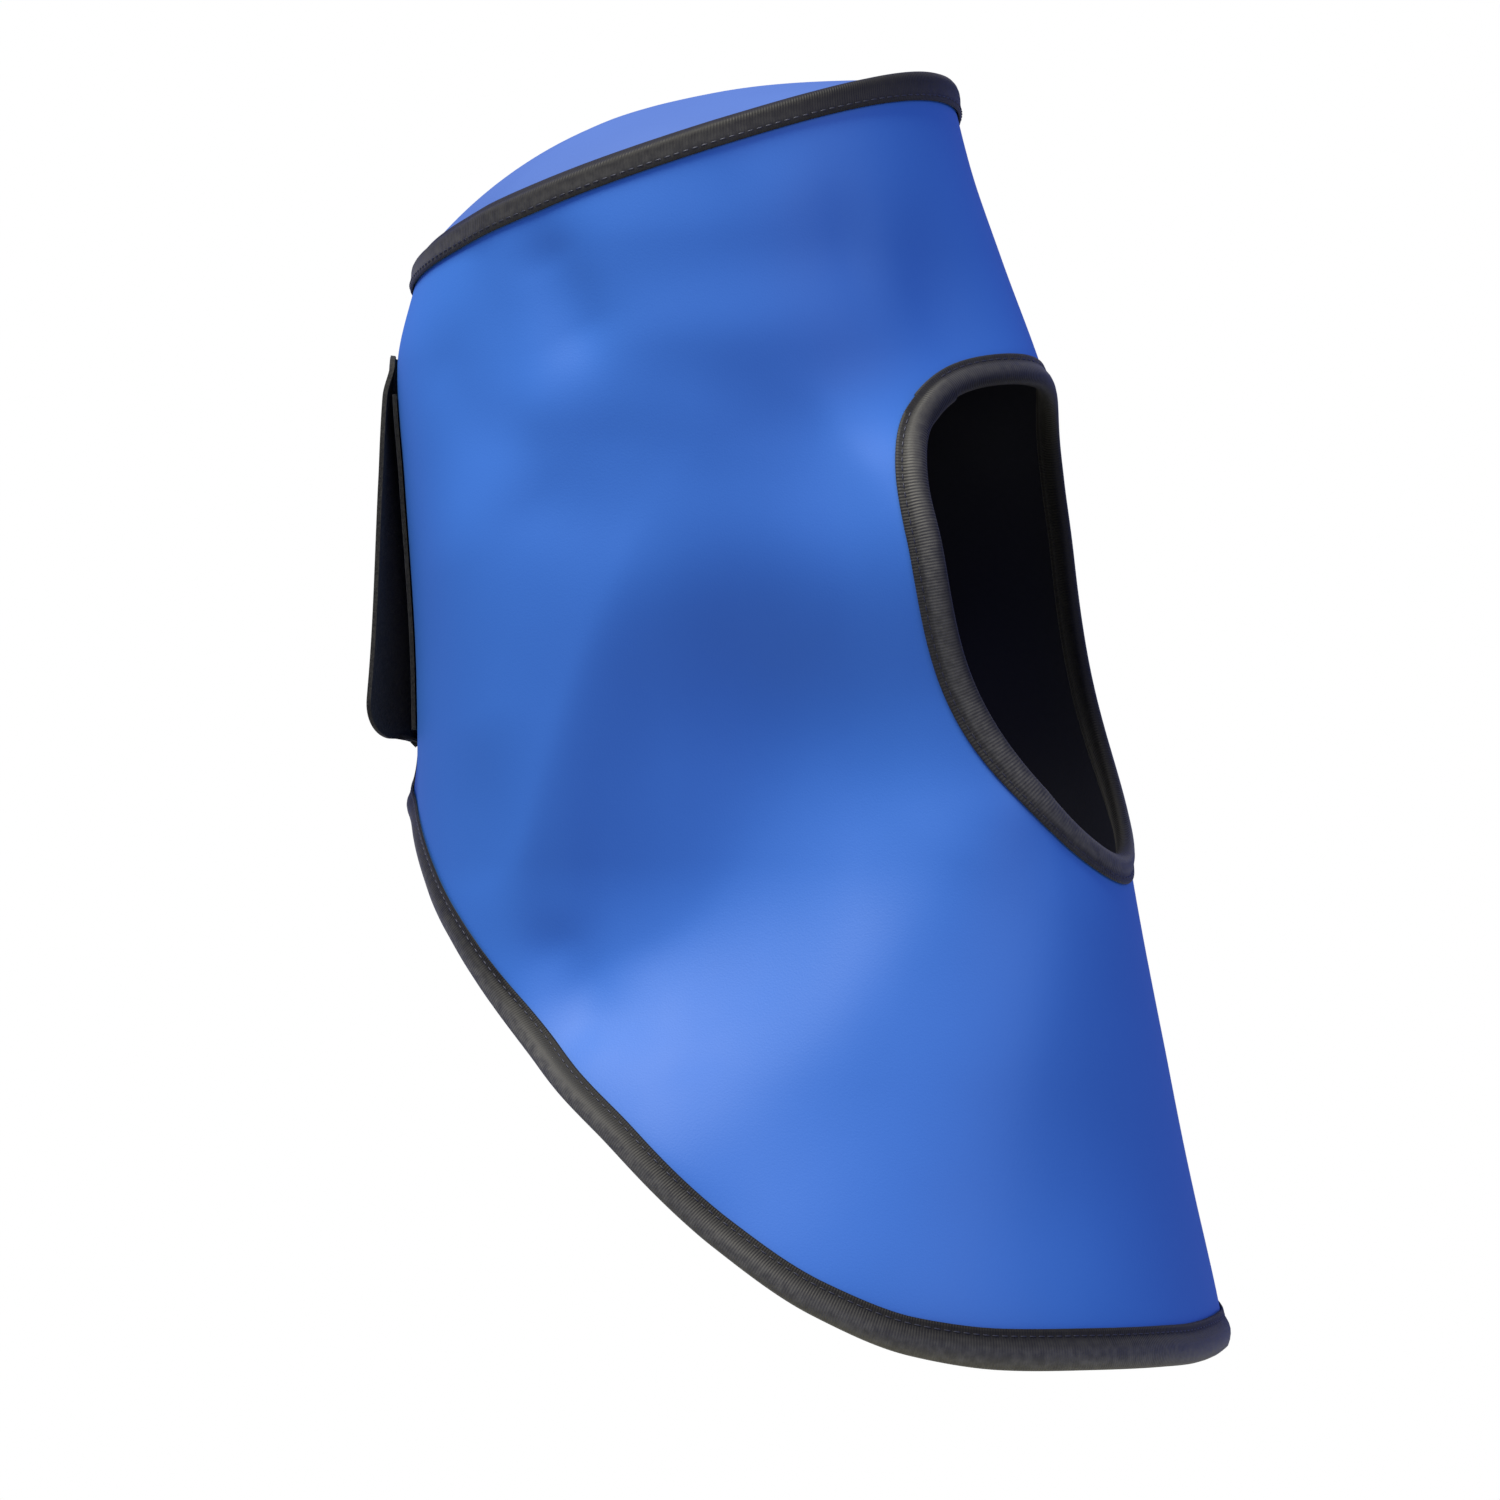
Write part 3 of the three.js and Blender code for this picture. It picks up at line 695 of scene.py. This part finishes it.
window_weave = woven_tape("window_tape_weave", WINDOW_TAPE_RUN, TAPE_WIDTH, WINDOW_SHADES)
window_tape.data.materials.append(window_weave)
thicken(window_tape, TAPE, INWARDS)
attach(window_tape, "root")
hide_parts("window_binding")

seam = tape_lines(edge_turn, edge_height, True, [[SEAM_IN]], SEAM_OFF)[0]
seam_out = wall_rates(edge_turn, edge_height)[2]
seam_out = np.concatenate([seam_out, seam_out[:1]])
window_stitches = sew("window_tape_stitches", seam, seam_out, STITCH_PITCH)

# Hem tape: one length of the tape, down the right edge of the back slit, round the hem and up the left
# edge, folded over the sheet and sewn through.
HEM_STEPS = 560
HEM_FINE_STEPS = 2001
SLIT_FINE_STEPS = 400
SLIT_TOP_GAP = 1.0  # between the crown tape's wall leg and the start of the tape
BIB = (35, 70)  # degrees over which the bib's hem ends
BIB_LEG = 0.12  # the legs are turned in wider along the bib
BIB_OVERHANG = 0.9  # and the fold hangs lower there
SIDE_STARTS = (55, 85)
SIDE_ENDS = (130, 160)
SIDE_LEG = 0.11  # the legs are narrower along the sides
HEM_SHADES = [  # place across the tape from its inner leg, shade; painted shade on the inner leg and by the cloth, painted highlight along the roll near its fold
    (0.36, 0.006),
    (0.44, 0.034),
    (0.50, 0.054),
    (0.57, 0.074),
    (0.64, 0.054),
    (0.72, 0.022),
    (0.80, 0.011),
    (0.92, 0.010),
    (0.97, 0.005),
]
dense = np.sin(np.linspace(-math.pi / 2, math.pi / 2, HEM_FINE_STEPS)) * END_TURN
slit_top = float(top_at(math.pi)) - CROWN_WALL_LEG - SLIT_TOP_GAP
slit_heights = np.linspace(slit_top, float(hem_at(END_TURN)), SLIT_FINE_STEPS)[:-1]
slit_turns = slit_turn(slit_heights)
low_turns = dense / END_TURN * slit_turn(hem_at(dense))
path_turn = np.concatenate([-slit_turns, low_turns, slit_turns[::-1]])
path_height = np.concatenate([slit_heights, hem_at(dense), slit_heights[::-1]])
run = path_run(wall_point(path_turn, path_height))
even = np.linspace(0, run[-1], HEM_STEPS)
hem_turn = np.interp(even, run, path_turn)
hem_height = np.interp(even, run, path_height)
beside = np.degrees(np.abs(hem_turn))
bib = 1 - smoothstep(beside, *BIB)
along_side = smoothstep(beside, *SIDE_STARTS) * (1 - smoothstep(beside, *SIDE_ENDS))
leg = 1 + BIB_LEG * bib - SIDE_LEG * along_side
hem_in = roll_in * np.where(roll_in > 0, leg, 1 + BIB_OVERHANG * bib)
hem_tape = lay_grid("hem_tape", tape_lines(hem_turn, hem_height, False, hem_in, roll_off))
hem_weave = woven_tape("hem_tape_weave", float(run[-1]), TAPE_WIDTH, HEM_SHADES)
hem_tape.data.materials.append(hem_weave)
thicken(hem_tape, TAPE, INWARDS)
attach(hem_tape, "root")
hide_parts("hem_binding")

seam = tape_lines(hem_turn, hem_height, False, SEAM_IN * leg[None, :], SEAM_OFF)[0]
seam_out = wall_rates(hem_turn, hem_height)[2]
hem_stitches = sew("hem_tape_stitches", seam, seam_out, STITCH_PITCH)

# Loop strip: a strip of black looped tape for the tab to grip, sewn flat on the wall beside the right
# edge of the slit.
STRIP_NEAR = 15.5  # from the middle of the back
STRIP_FAR = 42.0
STRIP_TOP = -98.0
STRIP_FOOT = -214.0
STRIP_THICK = 1.3
STRIP_OFF = 0.6  # gap under it
STRIP_ACROSS = 28
STRIP_UP = 100
OUTWARDS = 1


def back_turn(x, height):
    """Turn of the back of the wall at x, counted to the left."""
    return math.pi - np.arcsin(x / half_at(height))


def looped_nap(name):
    """Black hook-and-loop tape: close fuzzy loops over a woven ground."""
    material, nodes, links, shader, place = start_finish(name)
    fuzz = add_node(nodes, "TexNoise", Scale=900, Detail=5, Roughness=0.7)
    links.new(place.outputs["Object"], fuzz.inputs["Vector"])
    shades = nodes.new("ShaderNodeValToRGB")
    shades.color_ramp.elements[0].position = 0.35
    shades.color_ramp.elements[0].color = (0.012, 0.011, 0.006, 1)
    shades.color_ramp.elements[1].position = 0.8
    shades.color_ramp.elements[1].color = (0.042, 0.038, 0.022, 1)
    links.new(fuzz.outputs["Fac"], shades.inputs["Fac"])
    links.new(shades.outputs["Color"], shader.inputs["Base Color"])
    bump = add_node(nodes, "Bump", Strength=0.7, Distance=0.0006)
    links.new(fuzz.outputs["Fac"], bump.inputs["Height"])
    links.new(bump.outputs["Normal"], shader.inputs["Normal"])
    matt = add_node(nodes, "MapRange", From_Min=0.35, From_Max=0.8, To_Min=0.95, To_Max=0.82)
    links.new(fuzz.outputs["Fac"], matt.inputs["Value"])
    links.new(matt.outputs["Result"], shader.inputs["Roughness"])
    set_sockets(shader, Specular_IOR_Level=0.25, Sheen_Weight=0.06)
    return material


black_nap = looped_nap("black_hook_and_loop")
strip_x = -np.linspace(STRIP_NEAR, STRIP_FAR, STRIP_ACROSS)[None, :]
strip_height = np.linspace(STRIP_FOOT, STRIP_TOP, STRIP_UP)[:, None]
strip_x, strip_height = np.broadcast_arrays(strip_x, strip_height)
strip_turn = back_turn(strip_x, strip_height)
strip = lay_grid("loop_strip_nap", off_wall(strip_turn, strip_height, np.full_like(strip_x, STRIP_OFF)))
strip.data.materials.append(black_nap)
thicken(strip, STRIP_THICK, OUTWARDS)
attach(strip, "root")
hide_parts("loop_strip")

# Closure tab: a broad tab of the same tape sewn beside the left edge, laid across the slit; its loose
# end springs away from the hood towards the foot.
TAB_SEWN = 42.0  # from the middle of the back, to the left
TAB_FREE = 45.0  # and to the right
TAB_TOP = -84.0
TAB_FOOT = -220.0
TAB_FOOT_CUT = 3.0  # the foot is cut up by this towards the loose corner
TAB_CUT_FROM = 0.6  # share of the tab's width from which it is
TAB_THICK = 1.6
TAB_CORNER = 14.0
TAB_TOP_ROUND = 0.4  # the corner at the top is longer
TAB_SEAT = 0.5  # off the wall where it is sewn
TAB_SEWN_EDGE = (14, 24)  # x between which the sewn part starts
TAB_CLEAR = 2.6  # off the wall from there on, over the slit's tapes and the strip
TAB_SINK = 1.6  # it lies closer to the wall again above the strip
TAB_SINK_HEIGHTS = (-99, -88)
TAB_SINK_X = (-26, -17)
TAB_LIFT = 13.6  # how far the loose end springs away
TAB_LIFT_FROM = 18.0  # x to the right from which it springs
TAB_LIFT_TOP = -88.0  # height from which it springs
TAB_LIFT_DROP = 117.0  # drop over which the spring is full
TAB_LIFT_MOST = 1.15
TAB_LIFT_CURL = 1.4  # how late it springs along its width
TAB_LIFT_EASE = 0.9  # and along its height
TAB_ACROSS = 60
TAB_UP = 90


def tab_spot(across, along, off):
    """A place on the tab, from its sewn to its loose end and from its foot to its top."""
    foot = TAB_FOOT + TAB_FOOT_CUT * smoothstep(across, TAB_CUT_FROM, 1)
    height = foot + (TAB_TOP - foot) * along
    edge = np.minimum(height - foot, (TAB_TOP - height) * TAB_TOP_ROUND)
    short = np.maximum(TAB_CORNER - edge, 0)
    rounded = TAB_CORNER - np.sqrt(TAB_CORNER**2 - short**2)
    x = TAB_SEWN - (TAB_SEWN + TAB_FREE - rounded) * across
    seat = TAB_SEAT + (TAB_CLEAR - TAB_SEAT) * (1 - smoothstep(x, *TAB_SEWN_EDGE))
    seat = seat - TAB_SINK * smoothstep(height, *TAB_SINK_HEIGHTS) * (1 - smoothstep(x, *TAB_SINK_X))
    loose = np.clip((-TAB_LIFT_FROM - x) / (TAB_FREE - TAB_LIFT_FROM), 0, 1) ** TAB_LIFT_CURL
    drop = np.clip((TAB_LIFT_TOP - height) / TAB_LIFT_DROP, 0, TAB_LIFT_MOST) ** TAB_LIFT_EASE
    return off_wall(back_turn(x, height), height, seat + TAB_LIFT * loose * drop + off)


tab_across = np.linspace(0, 1, TAB_ACROSS + 1)[None, :]
tab_along = ((1 - np.cos(np.linspace(0, math.pi, TAB_UP + 1))) / 2)[:, None]
tab_across, tab_along = np.broadcast_arrays(tab_across, tab_along)
tab = lay_grid("closure_tab_nap", tab_spot(tab_across, tab_along, 0.0))
tab.data.materials.append(black_nap)
thicken(tab, TAB_THICK, OUTWARDS)
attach(tab, "root")
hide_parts("closure_tab")

BOX_NEAR, BOX_FAR = 0.04, 0.24  # sides of the stitched box, in shares of the tab's width
BOX_FOOT, BOX_TOP = 0.03, 0.97  # and of its height
BOX_OFF = 0.05  # middle of the thread off the tab
BOX_PITCH = 3.0
BOX_UP_STEPS = 60
BOX_OVER_STEPS = 20
box_up = np.linspace(BOX_FOOT, BOX_TOP, BOX_UP_STEPS)
box_over = np.linspace(BOX_NEAR, BOX_FAR, BOX_OVER_STEPS)
near, far = np.full_like(box_up, BOX_NEAR), np.full_like(box_up, BOX_FAR)
low, high = np.full_like(box_over, BOX_FOOT), np.full_like(box_over, BOX_TOP)
box_x = np.concatenate([near, box_over, far, box_over[::-1]])
box_y = np.concatenate([box_up, high, box_up[::-1], low])
box = tab_spot(box_x, box_y, TAB_THICK + BOX_OFF)
box_out = box - tab_spot(box_x, box_y, 0.0)
tab_stitches = sew("tab_stitches", box, box_out, BOX_PITCH)

# Floor: a plain pale ground well below the hood, which is held up on its mount.
bpy.ops.mesh.primitive_circle_add(vertices=128, radius=2.2, fill_type="NGON", location=(0, 0, -1.05))
floor = bpy.context.object
floor.name = "floor"
floor_paint = bpy.data.materials.new("pale_floor")
floor_paint.use_nodes = True
set_sockets(
    floor_paint.node_tree.nodes["Principled BSDF"], Base_Color=(0.93, 0.89, 0.55, 1), Roughness=0.8
)
floor.data.materials.append(floor_paint)

# Light: a broad soft key from high above the right side, a weak light from the front, and a surround
# that is white to look at and fills only gently.
world = bpy.data.worlds.new("white_surround")
bpy.context.scene.world = world
world.use_nodes = True
sky = world.node_tree
fill = sky.nodes["Background"]
set_sockets(fill, Color=(0.209, 0.27, 1, 1), Strength=0.69)
seen = add_node(sky.nodes, "Background", Color=(1, 1, 1, 1), Strength=1.0)
ray = sky.nodes.new("ShaderNodeLightPath")
either = sky.nodes.new("ShaderNodeMixShader")
sky.links.new(ray.outputs["Is Camera Ray"], either.inputs["Fac"])
sky.links.new(fill.outputs["Background"], either.inputs[1])
sky.links.new(seen.outputs["Background"], either.inputs[2])
sky.links.new(either.outputs["Shader"], sky.nodes["World Output"].inputs["Surface"])
LIGHT_SIZE = 0.9
LIGHT_TARGET = Vector((0, 0, -0.2))


def aim_light(name, place, energy, colour=(1, 1, 1)):
    """Adds a square soft light at a place, turned to the middle of the hood."""
    bpy.ops.object.light_add(type="AREA", location=place)
    lamp = bpy.context.object
    lamp.name = name
    lamp.data.size = LIGHT_SIZE
    lamp.data.energy = energy
    lamp.data.color = colour
    lamp.rotation_euler = (LIGHT_TARGET - Vector(place)).to_track_quat("-Z", "Y").to_euler()


aim_light("key_light", (-0.655, 0.363, 1.654), 71)
aim_light("front_light", (-0.906, -1.57, 0.645), 9, (0.86, 0.84, 1))

# Camera: level with the lower half of the window, a little forward of the right side.
CAMERA_TURN = -63  # degrees
bpy.ops.object.camera_add(
    location=(-1.5944, -0.8357, -0.221), rotation=(math.radians(90), 0, math.radians(CAMERA_TURN))
)
camera = bpy.context.object
camera.data.sensor_width = 36
camera.data.lens = 125.3
bpy.context.scene.camera = camera
bpy.context.scene.view_settings.view_transform = "Standard"
